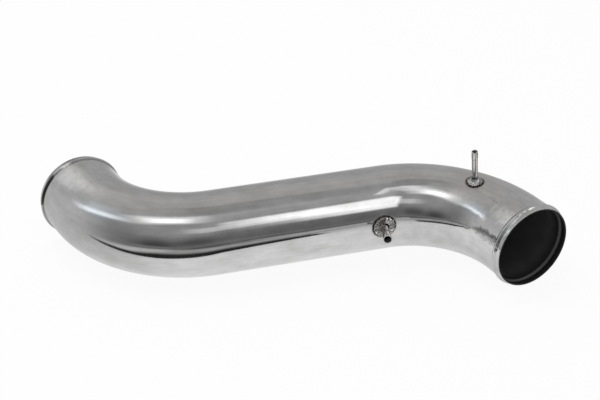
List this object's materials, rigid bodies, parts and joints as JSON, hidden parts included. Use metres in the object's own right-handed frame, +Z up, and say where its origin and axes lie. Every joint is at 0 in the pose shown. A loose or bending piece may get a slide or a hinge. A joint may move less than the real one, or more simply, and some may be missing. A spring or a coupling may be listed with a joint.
{
  "type": "cold air intake pipe",
  "caption": "S-shaped polished aluminium air intake tube with a rolled bead at each mouth and small hose nipples welded into its front and top.",
  "frame": {"origin": "on the surface the pipe lies on, under the middle of its plan, which is the middle of the straight run", "axes": "+X along the middle run towards the right mouth, +Y away from the side with the front nipple, +Z up"},
  "size_m": [0.4432, 0.2222, 0.1109],
  "materials": {
    "polished_aluminium": "polished outside, black coating inside",
    "nipple_aluminium": "bright, lightly brushed",
    "weld_metal": "bright rippled weld with dark edges"
  },
  "bodies": {
    "root": {"intake_tube": "polished_aluminium", "front_port_nipple": "nipple_aluminium", "front_port_weld": "weld_metal", "top_port_nipple": "nipple_aluminium", "top_port_weld": "weld_metal"}
  },
  "joints": []
}
